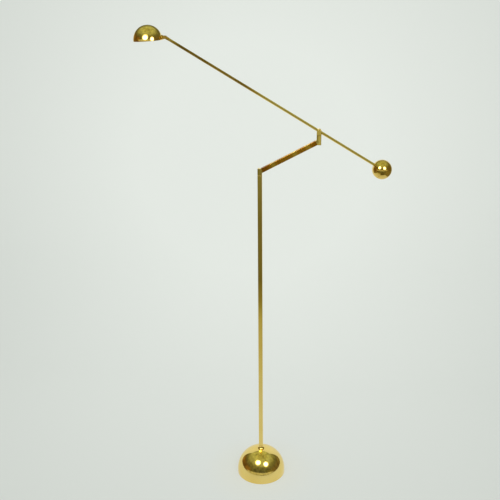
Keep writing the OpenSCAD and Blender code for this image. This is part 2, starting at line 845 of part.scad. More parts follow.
module ball_set_screw() {
    color(steel) at_arm() translate([rear_len - set_screw_x, 0, -rod_d / 2 - seat_gap - set_screw_len])
        cylinder(h = set_screw_len, d = set_screw_d);
}

module arm_wire() {
    color(black) at_arm() strut(
        [-tube_end, 0, 0],
        [-hub_flat - seat_gap, 0, 0],
        wire_d
    );
}

module arm_tip() {
    color(brass) at_arm() translate([-front_len, 0, 0]) difference() {
        union() {
            translate([0, -tongue_t / 2, 0]) along_y() cylinder(h = tongue_t, r = eye_r);
            translate([0, -tongue_t / 2, -tip_collar_d / 2]) intersection() {
                cube([tip_len, tongue_t, tip_collar_d]);
                translate([0, tongue_t / 2, tip_collar_d / 2]) along_x()
                    cylinder(h = tip_len, d = tip_collar_d);
            }
            translate([tip_len - tip_collar_t, 0, 0]) along_x() cylinder(h = tip_collar_t, d = tip_collar_d);
            translate([tip_len - over, 0, 0]) along_x() cylinder(h = tip_stem_len + over, d = tip_stem_d);
        }
        translate([0, -tongue_t, 0]) along_y() cylinder(h = 2 * tongue_t, d = hinge_pin_d + 2 * run_gap);
        translate([tip_len - seat_gap, 0, 0]) along_x() cylinder(h = tip_stem_len + over, d = wire_hole_d);
    }
}

module shade_clevis() {
    back = knuckle_reach + boss_t;
    color(brass) at_hinge() difference() {
        union() {
            difference() {
                union() {
                    rotate([90, 0, 0]) linear_extrude(height = clevis_w, center = true) {
                        circle(r = eye_r);
                        translate([-knuckle_reach, -eye_r]) square([knuckle_reach, 2 * eye_r]);
                    }
                    translate([-back, 0, 0]) along_x() cylinder(h = 2 * boss_t, d = boss_d);
                }
                translate([shade_axis_x, 0, -rim_drop]) dome(shade_r + seat_gap, shade_skirt_h);
            }
            translate([-stud_end, 0, 0]) along_x()
                cylinder(h = stud_end - knuckle_reach + over, d = clevis_stud_d);
        }
        translate([-slot_depth, -clevis_gap / 2, -boss_d])
            cube([slot_depth + boss_d, clevis_gap, 2 * boss_d]);
        translate([0, -clevis_w, 0]) along_y() cylinder(h = 2 * clevis_w, d = hinge_pin_d + 2 * seat_gap);
        translate([-stud_end - over, 0, 0]) along_x() cylinder(h = stud_end + over, d = clevis_bore);
    }
}

module hinge_pin() {
    slot_w = hinge_head_h / 2;
    color(brass) at_hinge() translate([0, -clevis_w / 2, 0]) along_y() difference() {
        union() {
            translate([0, 0, -hinge_head_h]) cylinder(h = hinge_head_h, d = hinge_head_d);
            cylinder(h = clevis_w + hinge_nut_h, d = hinge_pin_d);
        }
        translate([-hinge_head_d, -slot_w / 2, -hinge_head_h - over])
            cube([2 * hinge_head_d, slot_w, over + slot_w]);
    }
}

module hinge_nut() {
    color(brass) at_hinge() translate([0, clevis_w / 2, 0]) along_y()
        hex_nut(hinge_nut_w, hinge_nut_h, hinge_pin_d + 2 * seat_gap);
}

module shade_dome() {
    color(brass) at_hinge() difference() {
        translate([shade_axis_x, 0, -rim_drop]) dome(shade_r, shade_skirt_h);
        translate([shade_axis_x, 0, -rim_drop - over]) dome(shade_in_r, shade_skirt_h + over);
        translate([-nut_x, 0, 0]) along_x() cylinder(h = nut_x, d = stud_hole_shade_d);
        at_switch(switch_face) cylinder(h = shade_r, d = switch_bush_d + 2 * seat_gap);
    }
}

module stud_nut() {
    color(brass) at_hinge() at_holder(nut_x)
        hex_nut(stud_nut_w, stud_nut_h, clevis_stud_d + 2 * seat_gap);
}

module holder_cap() {
    color(brass) at_hinge() at_holder(cap_x) difference() {
        cylinder(h = cap_end_t + seat_gap + cap_depth, d = cap_d);
        translate([0, 0, cap_end_t]) cylinder(h = cap_depth + over, d = holder_d + 2 * seat_gap);
        translate([0, 0, -over]) cylinder(h = cap_end_t + 2 * over, d = clevis_stud_d + 2 * seat_gap);
    }
}

module bulb_pin_places() {
    for (y = [-1, 1]) translate([0, y * bulb_pin_gap / 2, 0]) children();
}

module lamp_holder() {
    color(ceramic_white) at_hinge() at_holder(holder_x) difference() {
        cylinder(h = holder_len, d = holder_d);
        translate([0, 0, holder_len - holder_seat_h])
            cylinder(h = holder_seat_h + over, d = bulb_foot_d + 2 * seat_gap);
        bulb_pin_places() translate([0, 0, holder_len - holder_seat_h - bulb_pin_len])
            cylinder(h = bulb_pin_len + over, d = bulb_pin_d + 2 * seat_gap);
    }
}

module bulb_glass() {
    body_h = bulb_len - bulb_r;
    color(clear_glass) at_hinge() at_holder(bulb_x) difference() {
        union() {
            dome(bulb_r, body_h);
            translate([0, 0, -bulb_foot_h]) cylinder(h = bulb_foot_h + over, d = bulb_foot_d);
        }
        translate([0, 0, bulb_wall]) dome(bulb_void_r, body_h - bulb_wall);
    }
}

module bulb_filament() {
    color(steel) at_hinge() at_holder(bulb_x) {
        translate([0, 0, filament_z]) cylinder(h = filament_len, d = filament_d);
        strut([0, 0, bulb_wall], [0, 0, filament_z + over], support_d);
        strut([0, filament_d, bulb_wall], [0, filament_d, filament_z + filament_len], support_d);
        strut([0, 0, filament_z + filament_len - support_d / 2],
            [0, filament_d, filament_z + filament_len - support_d / 2], support_d);
    }
}

module bulb_pins() {
    color(steel) at_hinge() at_holder(bulb_x - bulb_foot_h) bulb_pin_places() rotate([180, 0, 0])
        cylinder(h = bulb_pin_len, d = bulb_pin_d);
}

module holder_wire() {
    color(black) at_hinge() strut([-holder_x, 0, 0], [-slot_depth - seat_gap, 0, 0], wire_d);
}

module switch_body() {
    color(black) at_hinge() difference() {
        union() {
            at_switch(switch_face - switch_len) cylinder(h = switch_len, d = switch_d);
            at_switch(switch_face - over)
                cylinder(h = switch_bush_end - switch_face + over, d = switch_bush_d);
        }
        at_switch(switch_face - shaft_depth) cylinder(h = shade_r, d = shaft_d + 2 * run_gap);
    }
}

module switch_nut() {
    color(brass) at_hinge() difference() {
        at_switch(switch_face)
            ring(switch_nut_d, switch_bush_d + 2 * seat_gap, shade_r + switch_nut_h - switch_face);
        translate([shade_axis_x, 0, -rim_drop]) dome(shade_r + seat_gap / 2, shade_skirt_h, $fn = fine_fn);
    }
}

module switch_knob() {
    color(brass) at_hinge() difference() {
        union() {
            at_switch(knob_y) cylinder(h = knob_h, d = knob_d);
            at_switch(switch_face - shaft_depth + seat_gap)
                cylinder(h = knob_y - switch_face + shaft_depth, d = shaft_d);
        }
        at_switch(knob_y - over) for (i = [0 : knob_flutes - 1])
            rotate([0, 0, i * 360 / knob_flutes]) translate([knob_d / 2, 0, 0])
                cylinder(h = knob_h + 2 * over, d = flute_d);
    }
}

base_shell();
felt_pad();
base_plate();
base_ballast();
plate_screws();
ballast_spacer();
base_pipe();
pipe_washer();
pipe_nut();
cord_bushing();
terminal_block();
post_collar();
post_tube();
post_foot_plug();
post_bearing();
base_wire();
post_thrust_washer();
crank_foot();
crank_link();
crank_stub();
crank_spindle();
crank_spindle_washer();
crank_spindle_nut();
stub_cap();
crank_wire();
fork_thrust_washer();
fork_head();
fork_spindle();
fork_spindle_washer();
fork_spindle_nut();
fork_pin();
fork_pin_nut();
friction_washers();
arm_hub();
front_tube();
rear_rod();
ball_inner_half();
ball_outer_half();
ball_core();
ball_set_screw();
arm_wire();
arm_tip();
shade_clevis();
hinge_pin();
hinge_nut();
shade_dome();
stud_nut();
holder_cap();
lamp_holder();
bulb_glass();
bulb_filament();
bulb_pins();
holder_wire();
switch_body();
switch_nut();
switch_knob();
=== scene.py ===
"""Looks of the counterbalance floor lamp: brass skins, finishes, stage, light and camera around
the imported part."""

import json
import math

import bmesh
import bpy
import numpy as np
from mathutils import Matrix


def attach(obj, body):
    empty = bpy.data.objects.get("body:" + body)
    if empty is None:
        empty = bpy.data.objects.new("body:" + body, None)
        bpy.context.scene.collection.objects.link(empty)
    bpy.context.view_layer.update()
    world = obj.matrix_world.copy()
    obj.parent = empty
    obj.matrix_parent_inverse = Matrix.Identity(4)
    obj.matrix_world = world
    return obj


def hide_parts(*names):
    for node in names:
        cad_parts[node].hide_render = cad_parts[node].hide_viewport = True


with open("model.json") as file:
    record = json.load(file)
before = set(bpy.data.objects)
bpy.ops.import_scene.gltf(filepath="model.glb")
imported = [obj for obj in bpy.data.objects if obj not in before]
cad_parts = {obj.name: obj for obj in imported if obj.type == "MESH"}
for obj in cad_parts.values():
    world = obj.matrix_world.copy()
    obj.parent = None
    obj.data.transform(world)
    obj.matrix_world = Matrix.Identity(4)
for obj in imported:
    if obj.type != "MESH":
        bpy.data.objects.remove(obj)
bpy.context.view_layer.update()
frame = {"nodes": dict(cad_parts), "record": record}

MM = 0.001
FULL_TURN = 2 * np.pi
ORIGIN = np.zeros(3)
UP = np.array([0.0, 0.0, 1.0])
SIDE = np.array([0.0, 1.0, 0.0])
WORLD_AXES = np.eye(3)

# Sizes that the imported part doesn't name, as in the part's source
LINK_SLOPE = math.radians(28.1)
LINK_RISE = 14.0 * MM
SHADE_TILT = math.radians(3.0)
TUBE_WALL = 1.3 * MM
TUBE_CORNER = 1.0 * MM
ARM_WALL = 1.0 * MM
BASE_WALL = 1.5 * MM
SHADE_WALL = 1.0 * MM
BALL_WALL = 1.2 * MM
PIPE_HOLE_R = 5.1 * MM
CORD_HOLE_R = 4.9 * MM
ARM_HOLE_R = 4.85 * MM
COLLAR_FLARE = 4.5 * MM
FLARE_R = 12 * MM
SEAT_GAP = 0.1 * MM
KNOB_LENGTH = 8.5 * MM

# Trim of the skins: eased edges, the rim's rounding as a share of the wall, how far an ease bulges,
# and the distance of the points that hold a flat face flat beside a round edge
END_EASE = 0.3 * MM
SEAM_EASE = 0.12 * MM
EDGE_EASE = 0.3 * MM
COLLAR_EASE = 0.5 * MM
RIM_SHARE = 0.49
BULGE = 0.3
HOLD = 0.4 * MM

# Steps round a turned piece, along an arc, round a corner and round a bored hole
AROUND = 288
ARC_STEPS = 120
CORNER_STEPS = 8
BORE_STEPS = 96
# Points closer than this are one; faces that meet at more than the sharp angle keep their edge
WELD = 1e-4 * MM
SHARP = math.radians(40)

JOINT_PLACE = {row["name"]: np.array(row["pos_m"]) for row in frame["record"]["behaviour"]["joints"]}
PIN = JOINT_PLACE["arm_tilt"]
HINGE = JOINT_PLACE["shade_tilt"]
ARM_RUN = (PIN - HINGE) / np.linalg.norm(PIN - HINGE)
ARM_AXES = np.array([np.cross(SIDE, ARM_RUN), SIDE, ARM_RUN])
SHADE_OUT = np.array([math.cos(SHADE_TILT), 0.0, math.sin(SHADE_TILT)])
SHADE_AXES = np.array([SHADE_OUT, SIDE, np.cross(SHADE_OUT, SIDE)])
LINK_RUN = np.array([math.cos(LINK_SLOPE), 0.0, math.sin(LINK_SLOPE)])
LINK_AXES = np.array([np.cross(SIDE, LINK_RUN), SIDE, LINK_RUN])
LINK_FOOT = JOINT_PLACE["crank_swivel"] + LINK_RISE * UP
KNOB_AXES = np.array([SHADE_AXES[2], SHADE_AXES[0], SIDE])


def local_points(mesh, origin, axes):
    """Coordinates of a mesh's points along three axes through an origin."""
    points = np.empty(3 * len(mesh.vertices))
    mesh.vertices.foreach_get("co", points)
    return (points.reshape(-1, 3) - origin) @ axes.T


def reach(node, origin=ORIGIN, axes=WORLD_AXES):
    """Lowest and highest coordinates of a node along three axes through an origin."""
    local = local_points(frame["nodes"][node].data, origin, axes)
    return local.min(axis=0), local.max(axis=0)


def arc(centre, radius, start, stop, count):
    """Circle arc: centre plus radius times (cos a, sin a), with a from start to stop in degrees."""
    a = np.radians(np.linspace(start, stop, count))
    return np.stack([centre[0] + radius * np.cos(a), centre[1] + radius * np.sin(a)], axis=1)


def dome_profile(radius, wall, ease, centre_z, rim_z, hole):
    """Wall section of a dome on a skirt: outer arc, eased rim, inner arc; the hole's radius may be
    nought. A point just inside each end of the rim holds the skirt straight."""
    inner = radius - wall
    outer_top = math.degrees(math.acos(hole / radius))
    inner_top = math.degrees(math.acos(hole / inner))
    return np.concatenate([
        arc((0, centre_z), radius, outer_top, 0, ARC_STEPS), [[radius, rim_z + ease + HOLD]],
        arc((radius - ease, rim_z + ease), ease, 0, -90, CORNER_STEPS),
        arc((inner + ease, rim_z + ease), ease, -90, -180, CORNER_STEPS), [[inner, rim_z + ease + HOLD]],
        arc((0, centre_z), inner, 0, inner_top, ARC_STEPS),
    ])


def turned(profile, origin, axes, around=AROUND):
    """Surface of revolution: origin + r cos t X + r sin t Y + z Z for each profile point (r, z) and
    angle t."""
    t = np.linspace(0, FULL_TURN, around, endpoint=False)
    r, z = profile[:, 0, None, None], profile[:, 1, None, None]
    return origin + r * (np.cos(t)[:, None] * axes[0] + np.sin(t)[:, None] * axes[1]) + z * axes[2]


def round_section(radius, inset):
    """Circle of the radius less the inset."""
    return arc((0, 0), radius - inset, 0, 360 * (1 - 1 / AROUND), AROUND)


def square_section(width, corner, inset):
    """Square with round corners: one quarter arc with a point of the flat on each side of it, turned
    four times."""
    r = max(corner - inset, corner / 4)
    m = width / 2 - inset - r
    flat = m - HOLD
    quarter = np.concatenate([[[m + r, flat]], arc((m, m), r, 0, 90, CORNER_STEPS), [[flat, m + r]]])
    turns = (quarter[:, 0] + 1j * quarter[:, 1]) * (1j ** np.arange(4))[:, None]
    return np.stack([turns.real.ravel(), turns.imag.ravel()], axis=1)


def wall_loop(start, stop, wall, ease, steps):
    """Closed section of a tube's wall as (inset, along): outside, eased end, inside, eased end."""
    inner = np.linspace(start + ease + HOLD, stop - ease - HOLD, steps)
    runs = np.concatenate([[start + ease], inner, [stop - ease]])
    outside = np.stack([np.zeros(runs.size), runs], axis=1)
    inside = np.stack([np.full(runs.size, wall), runs[::-1]], axis=1)
    bulge = ease * BULGE
    far = np.array([[bulge, stop - bulge], [ease, stop], [wall - bulge, stop]])
    near = np.array([[wall - bulge, start], [ease, start], [bulge, start + bulge]])
    return np.concatenate([outside, far, inside, near])


def carried(section, loop, origin, axes):
    """Section carried along the third axis: origin + sx X + sy Y + along Z, the section inset as the
    loop says."""
    rings = np.stack([section(inset) for inset, _ in loop])
    along = loop[:, 1, None, None] * axes[2]
    return origin + rings[..., 0, None] * axes[0] + rings[..., 1, None] * axes[1] + along


def grid_mesh(name, grid, wrap=True):
    """Mesh from a grid of points that wraps along its second index, and along its first where wrap
    says."""
    rows, cols = grid.shape[:2]
    i = np.arange(rows if wrap else rows - 1)[:, None]
    j = np.arange(cols)[None, :]
    i2, j2 = (i + 1) % rows, (j + 1) % cols
    corners = (i * cols + j, i2 * cols + j, i2 * cols + j2, i * cols + j2)
    faces = np.stack([np.broadcast_to(c, (i.size, cols)) for c in corners], axis=-1).reshape(-1, 4)
    mesh = bpy.data.meshes.new(name)
    mesh.from_pydata(grid.reshape(-1, 3).tolist(), [], faces.tolist())
    return mesh


def welded(mesh):
    """Merge a mesh's poles and seams, and turn its faces outwards."""
    shape = bmesh.new()
    shape.from_mesh(mesh)
    bmesh.ops.remove_doubles(shape, verts=shape.verts, dist=WELD)
    bmesh.ops.dissolve_degenerate(shape, edges=shape.edges, dist=WELD)
    bmesh.ops.recalc_face_normals(shape, faces=shape.faces)
    shape.to_mesh(mesh)
    shape.free()
    return mesh


def smoothed(mesh):
    """Shade a mesh's faces smooth."""
    mesh.polygons.foreach_set("use_smooth", np.ones(len(mesh.polygons), dtype=bool))
    return mesh


def placed(name, data):
    """Object with the data, linked into the scene at the origin."""
    made = bpy.data.objects.new(name, data)
    bpy.context.scene.collection.objects.link(made)
    return made


def stood(thing, axes, place):
    """Stand a camera or lamp at a place, its own X, Y and Z along the three axes."""
    matrix = np.eye(4)
    matrix[:3, :3] = np.array(axes).T
    matrix[:3, 3] = place
    thing.matrix_world = Matrix(matrix.tolist())


def finished(name, mesh, body, finish, nodes):
    """Weld and smooth a mesh, and ride it as a piece on its body, in place of the nodes."""
    smoothed(welded(mesh)).set_sharp_from_angle(angle=SHARP)
    piece = placed(name, mesh)
    piece.data.materials.append(finish)
    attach(piece, body)
    if nodes:
        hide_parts(*nodes)
    return piece


def piece_from(name, grid, body, finish, nodes, wrap=True):
    """Piece from a grid of points."""
    return finished(name, grid_mesh(name, grid, wrap), body, finish, nodes)


def wire_node(tree, kind, inputs=None, **settings):
    """Shader node with its settings, and its inputs given as values or as sockets to link."""
    made = tree.nodes.new(kind)
    for key, value in settings.items():
        setattr(made, key, value)
    for key, value in (inputs or {}).items():
        if isinstance(value, bpy.types.NodeSocket):
            tree.links.new(value, made.inputs[key])
        else:
            made.inputs[key].default_value = value
    return made


def ramp(tree, fac, stops):
    """Colour ramp with the given (place, colour) stops."""
    made = wire_node(tree, "ShaderNodeValToRGB", {"Fac": fac})
    elements = made.color_ramp.elements
    while len(elements) < len(stops):
        elements.new(1.0)
    for element, (place, colour) in zip(elements, stops):
        element.position = place
        element.color = (*colour, 1.0)
    return made.outputs["Color"]


def noise(tree, place, scale, detail, roughness=0.5):
    """Noise at a place, from 0 to 1."""
    sizes = {"Vector": place, "Scale": scale, "Detail": detail, "Roughness": roughness}
    return wire_node(tree, "ShaderNodeTexNoise", sizes).outputs["Fac"]


def counted(tree, operation, first, second, third=0.0):
    """Math node on up to three values or sockets."""
    return wire_node(tree, "ShaderNodeMath", {0: first, 1: second, 2: third}, operation=operation).outputs[0]


def ranged(tree, value, source=(0.0, 1.0), target=(0.0, 1.0), way="LINEAR"):
    """Value taken from one range to another and held at its ends, in a straight line or a smooth step."""
    limits = {"Value": value, "From Min": source[0], "From Max": source[1],
              "To Min": target[0], "To Max": target[1]}
    return wire_node(tree, "ShaderNodeMapRange", limits, interpolation_type=way).outputs[0]


def step_up(tree, value, low, high):
    """Smooth step of the value from nought at low to one at high."""
    return ranged(tree, value, (low, high), way="SMOOTHSTEP")


def both_of(tree, first, second):
    """Product of two masks."""
    return counted(tree, "MULTIPLY", first, second)


def band(tree, value, low, high, soft):
    """One between low and high, else nought, with soft edges."""
    return both_of(tree, step_up(tree, value, low - soft, low + soft),
                   step_up(tree, value, high + soft, high - soft))


def mixed(tree, fac, first, second, blend="MIX"):
    """Colour mix of two colours or sockets."""
    inputs = {0: fac, 6: first, 7: second}
    return wire_node(tree, "ShaderNodeMix", inputs, data_type="RGBA", blend_type=blend).outputs[2]


def blended(tree, fac, first, second):
    """Mix of two shaders."""
    return wire_node(tree, "ShaderNodeMixShader", {0: fac, 1: first, 2: second}).outputs[0]


def distance(tree, place, spot):
    """Distance of a place from a spot."""
    return wire_node(tree, "ShaderNodeVectorMath", {0: place, 1: spot}, operation="DISTANCE").outputs["Value"]


def group_tree(name, ins, outs):
    """Empty node group with named value sockets; returns the tree, its input node and its output node."""
    tree = bpy.data.node_groups.new(name, "ShaderNodeTree")
    for label, value in ins:
        tree.interface.new_socket(label, in_out="INPUT", socket_type="NodeSocketFloat").default_value = value
    for label in outs:
        tree.interface.new_socket(label, in_out="OUTPUT", socket_type="NodeSocketFloat")
    return tree, tree.nodes.new("NodeGroupInput"), tree.nodes.new("NodeGroupOutput")


# Marks: the cloud's size against the smudges', the detail of each noise, and how the hairlines are
# turned and drawn out
CLOUD_SHARE = 0.3
CLOUD_DETAIL, SMUDGE_DETAIL, HAIRLINE_DETAIL = 3.0, 5.0, 2.0
SMUDGE_ROUGHNESS = 0.6
HAIRLINE_RUNS = (((0.3, 0.2, 0.1), (1.0, 1.0, 0.02)), ((0.9, -0.4, 0.7), (0.03, 1.0, 1.0)))
# Where on the noise the tone and the gloss change, and how high the relief stands
CLOUD_STOPS = (0.3, 0.65)
GRAIN_STOPS = (0.3, 0.7)
SMUDGE_RANGE = (0.35, 0.75)
HAIRLINE_HIGH = 0.1 * MM
GRAIN_HIGH = 0.3 * MM
TARNISH_HIGH, TARNISH_BUMP = 0.2 * MM, 0.08
TARNISH_MARKS = (160.0, 1400.0)
GLASS_MARKS = (90.0, 900.0)
GLASS_GLOSS = (0.0, 0.08)
GLASS_TINT = (0.96, 0.98, 0.98, 1.0)
QUARTZ_IOR = 1.46


def handling_marks():
    """Smudges and hairlines of handled metal: noise at two sizes, and noise drawn out along two
    directions."""
    tree, given, out = group_tree("handling_marks", [("Smudge size", 45.0), ("Hairline size", 1400.0)],
                                  ["Cloud", "Smudge", "Hairlines"])
    place = wire_node(tree, "ShaderNodeTexCoord").outputs["Object"]
    smudge_size, hairline_size = given.outputs["Smudge size"], given.outputs["Hairline size"]
    cloud_size = counted(tree, "MULTIPLY", smudge_size, CLOUD_SHARE)
    lines = []
    for turn, stretch in HAIRLINE_RUNS:
        drawn = wire_node(tree, "ShaderNodeMapping", {"Vector": place, "Rotation": turn, "Scale": stretch})
        lines.append(noise(tree, drawn.outputs[0], hairline_size, HAIRLINE_DETAIL))
    made = {
        "Cloud": noise(tree, place, cloud_size, CLOUD_DETAIL),
        "Smudge": noise(tree, place, smudge_size, SMUDGE_DETAIL, SMUDGE_ROUGHNESS),
        "Hairlines": counted(tree, "ADD", *lines),
    }
    for label, value in made.items():
        tree.links.new(value, out.inputs[label])
    return tree


MARKS = handling_marks()


def new_finish(name):
    """Material with a Principled shader; returns the material, its tree and the shader node."""
    made = bpy.data.materials.new(name)
    made.use_nodes = True
    tree = made.node_tree
    return made, tree, tree.nodes["Principled BSDF"]


def marked(tree, smudge_size, hairline_size):
    """Outputs of the handling marks in a material, with that material's own sizes."""
    sizes = {"Smudge size": smudge_size, "Hairline size": hairline_size}
    return wire_node(tree, "ShaderNodeGroup", sizes, node_tree=MARKS).outputs


def coat(tree, shader, tone, gloss, height, bump, high, metallic):
    """Give a shader its tone, its gloss and a relief of the height."""
    relief = wire_node(tree, "ShaderNodeBump", {"Height": height, "Strength": bump, "Distance": high})
    tree.links.new(tone, shader.inputs["Base Color"])
    tree.links.new(gloss, shader.inputs["Roughness"])
    tree.links.new(relief.outputs[0], shader.inputs["Normal"])
    shader.inputs["Metallic"].default_value = metallic


def metal(name, light, deep, rough, smudge_size, hairline_size, bump):
    """Polished metal: tone between two colours by the cloud, gloss dulled by the smudges, hairlines as
    bump."""
    made, tree, shader = new_finish(name)
    marks = marked(tree, smudge_size, hairline_size)
    tone = ramp(tree, marks["Cloud"], list(zip(CLOUD_STOPS, (deep, light))))
    gloss = ranged(tree, marks["Smudge"], SMUDGE_RANGE, rough)
    coat(tree, shader, tone, gloss, marks["Hairlines"], bump, HAIRLINE_HIGH, 1.0)
    return made


def dull(name, light, deep, rough, grain, bump, metallic=0.0):
    """Matt stuff: tone between two colours by fine grain, which also gives the relief."""
    made, tree, shader = new_finish(name)
    marks = marked(tree, grain, grain)
    tone = ramp(tree, marks["Smudge"], list(zip(GRAIN_STOPS, (deep, light))))
    gloss = ranged(tree, marks["Smudge"], target=rough)
    coat(tree, shader, tone, gloss, marks["Smudge"], bump, GRAIN_HIGH, metallic)
    return made


def tarnished(name, stops, mottle, rough):
    """Brass that has gone brown: the piece's own attribute places the gold, and noise breaks up its
    edges. On the link and the arm the attribute also carries painted reflections and painted shade."""
    made, tree, shader = new_finish(name)
    marks = marked(tree, *TARNISH_MARKS)
    worn = wire_node(tree, "ShaderNodeAttribute", attribute_name="gold_and_painted_light").outputs["Fac"]
    broken = counted(tree, "SUBTRACT", marks["Smudge"], 0.5)
    spread = counted(tree, "MULTIPLY_ADD", broken, mottle, worn)
    tone = ramp(tree, spread, stops)
    gloss = ranged(tree, spread, target=rough)
    coat(tree, shader, tone, gloss, marks["Smudge"], TARNISH_BUMP, TARNISH_HIGH, 1.0)
    return made


def bulb_glass():
    """Clear quartz with a faint uneven gloss."""
    made, tree, shader = new_finish("clear_glass")
    gloss = ranged(tree, marked(tree, *GLASS_MARKS)["Smudge"], target=GLASS_GLOSS)
    tree.links.new(gloss, shader.inputs["Roughness"])
    shader.inputs["Base Color"].default_value = GLASS_TINT
    shader.inputs["Transmission Weight"].default_value = 1.0
    shader.inputs["IOR"].default_value = QUARTZ_IOR
    return made


# Tones of brown brass, from no gold left to all of it
TARNISH = ((0.0, (0.32, 0.11, 0.009)), (0.3, (0.57, 0.25, 0.016)),
           (0.6, (0.76, 0.40, 0.036)), (1.0, (0.93, 0.66, 0.13)))
ARM_TONES = ((0.0, (0.18, 0.11, 0.02)), (0.35, (0.40, 0.25, 0.05)),
          (0.65, (0.66, 0.43, 0.095)), (1.0, (0.93, 0.71, 0.24)))
# Finishes: metals with light and deep tone, gloss, sizes of smudges and hairlines, and bump; matt
# stuffs with light and deep tone, gloss, grain, bump and share of metal; browned brass with its
# tones, mottling and gloss
BRASS = metal("brass_polished", (0.93, 0.71, 0.24), (0.88, 0.64, 0.185), (0.04, 0.12), 45.0, 1400.0, 0.02)
DEEP = metal("brass_deep", (0.85, 0.61, 0.17), (0.79, 0.54, 0.13), (0.04, 0.12), 45.0, 1400.0, 0.02)
WORN = metal("brass_worn", (0.80, 0.53, 0.12), (0.60, 0.36, 0.065), (0.10, 0.24), 160.0, 1400.0, 0.05)
BRAZED = metal("brass_brazed", (0.62, 0.42, 0.12), (0.40, 0.22, 0.05), (0.25, 0.45), 220.0, 1400.0, 0.2)
# Browned brass of the arm's front; its dark bands are also painted dark reflections
ARM_BANDED_BRASS = tarnished("brass_arm_banded", ARM_TONES, 0.3, (0.2, 0.06))
FINISH = {
    "brass_polished": BRASS,
    "brass_tarnished": tarnished("brass_tarnished", TARNISH, 0.9, (0.34, 0.14)),
    "steel": metal("steel", (0.62, 0.63, 0.65), (0.48, 0.49, 0.50), (0.2, 0.42), 120.0, 1800.0, 0.15),
    "iron": dull("iron", (0.09, 0.09, 0.092), (0.045, 0.045, 0.047), (0.55, 0.8), 420.0, 0.6, 0.6),
    "felt": dull("felt", (0.03, 0.06, 0.035), (0.012, 0.028, 0.015), (0.9, 1.0), 900.0, 0.9),
    "black_plastic": dull("black_plastic", (0.02, 0.02, 0.02), (0.012, 0.012, 0.012),
                          (0.35, 0.55), 700.0, 0.15),
    "wire_jacket": dull("wire_jacket", (0.03, 0.03, 0.03), (0.018, 0.018, 0.018), (0.5, 0.7), 600.0, 0.1),
    "ceramic": dull("ceramic", (0.80, 0.77, 0.70), (0.70, 0.66, 0.58), (0.3, 0.5), 350.0, 0.08),
    "clear_glass": bulb_glass(),
}

for row in frame["record"]["subparts"]:
    for holder in frame["nodes"][row["node"]].material_slots:
        holder.material = FINISH[row["material_slot"]]


def brass_piece(name, grid, body, node, wrap=True, finish=BRASS):
    """Polished brass piece that stands for the node."""
    return piece_from(name, grid, body, finish, (node,), wrap)


def base_curve():
    """Radius of the base's dome, the height of its centre and the height of its rim."""
    low, high = reach("base_shell")
    radius = high[1]
    return radius, high[2] - math.sqrt(radius ** 2 - PIPE_HOLE_R ** 2), low[2]


# Half the depth of the cord's bore
BORE_HALF = 6 * MM


def make_base():
    """Spun dome of the base, with the cord's hole bored through its back."""
    radius, centre_z, rim_z = base_curve()
    profile = dome_profile(radius, BASE_WALL, BASE_WALL * RIM_SHARE, centre_z, rim_z, PIPE_HOLE_R)
    dome = brass_piece("base_dome", turned(profile, ORIGIN, WORLD_AXES), "base", "base_shell")
    neck_low, neck_high = reach("cord_bushing")
    middle = np.array([0.0, radius, (neck_low[2] + neck_high[2]) / 2])
    bored(dome, middle, SIDE, CORD_HOLE_R, BORE_HALF)


def bored(piece, middle, run, radius, half):
    """Cut a round hole through a piece: a closed cylinder along the run, taken away from the piece's
    own mesh."""
    axes = np.array([np.cross(run, UP), np.cross(run, np.cross(run, UP)), run])
    profile = np.array([[0, -half], [radius, -half], [radius, half], [0, half]])
    drill = grid_mesh("drill", turned(profile, middle, axes, BORE_STEPS), wrap=False)
    cutter = placed("drill", welded(drill))
    cut = piece.modifiers.new("bore", "BOOLEAN")
    cut.object, cut.operation, cut.solver = cutter, "DIFFERENCE", "EXACT"
    whole = piece.evaluated_get(bpy.context.evaluated_depsgraph_get())
    done = bpy.data.meshes.new_from_object(whole)
    piece.modifiers.clear()
    piece.data = done
    bpy.data.objects.remove(cutter)
    done.set_sharp_from_angle(angle=SHARP)


# Collar: its bore, which clears the pipe's hole, the flat at its neck, the angle where the hollow
# starts, and steps
COLLAR_BORE_R = 5.2 * MM
NECK_FLAT = 0.2 * MM
HOLLOW_START = 183
HOLLOW_STEPS = 40
SEAT_STEPS = 12


def make_collar():
    """Flared collar: hollow arc from the neck to the lip, eased lip, and an underside on the dome's
    curve."""
    _, high = reach("post_collar")
    dome_r, dome_z, _ = base_curve()
    lip, top = high[0], high[2]
    neck, edge_r = lip - COLLAR_FLARE, lip - COLLAR_EASE
    foot = math.degrees(math.asin((neck + FLARE_R - lip) / FLARE_R))
    hollow = arc((neck + FLARE_R, top), FLARE_R, HOLLOW_START, 270 - foot, HOLLOW_STEPS)
    seat = np.linspace(edge_r, COLLAR_BORE_R, SEAT_STEPS)
    under = np.stack([seat, dome_z + np.sqrt((dome_r + SEAT_GAP) ** 2 - seat ** 2)], axis=1)
    lip_z = under[0, 1] + COLLAR_EASE
    profile = np.concatenate([
        [[COLLAR_BORE_R, top], [neck - NECK_FLAT, top]], hollow[:-1],
        arc((edge_r, hollow[-1, 1] - COLLAR_EASE), COLLAR_EASE, 70, 0, CORNER_STEPS), [[lip, lip_z]],
        arc((edge_r, lip_z), COLLAR_EASE, 0, -80, CORNER_STEPS), under[1:],
    ])
    brass_piece("post_collar_turned", turned(profile, ORIGIN, WORLD_AXES), "base", "post_collar")


def square_tube(name, node, origin, axes, body, finish, steps=2):
    """Square tube with round corners that takes the node's place."""
    low, high = reach(node, origin, axes)
    width = high[1] - low[1]
    loop = wall_loop(low[2], high[2], TUBE_WALL, END_EASE, steps)
    grid = carried(lambda inset: square_section(width, TUBE_CORNER, inset), loop, origin, axes)
    return piece_from(name, grid, body, finish, (node,))


def arm_length(name, node, finish, steps=2):
    """One round length of the arm."""
    low, high = reach(node, PIN, ARM_AXES)
    radius = high[1]
    loop = wall_loop(low[2], high[2], ARM_WALL, END_EASE, steps)
    grid = carried(lambda inset: round_section(radius, inset), loop, PIN, ARM_AXES)
    return piece_from(name, grid, "arm", finish, (node,))


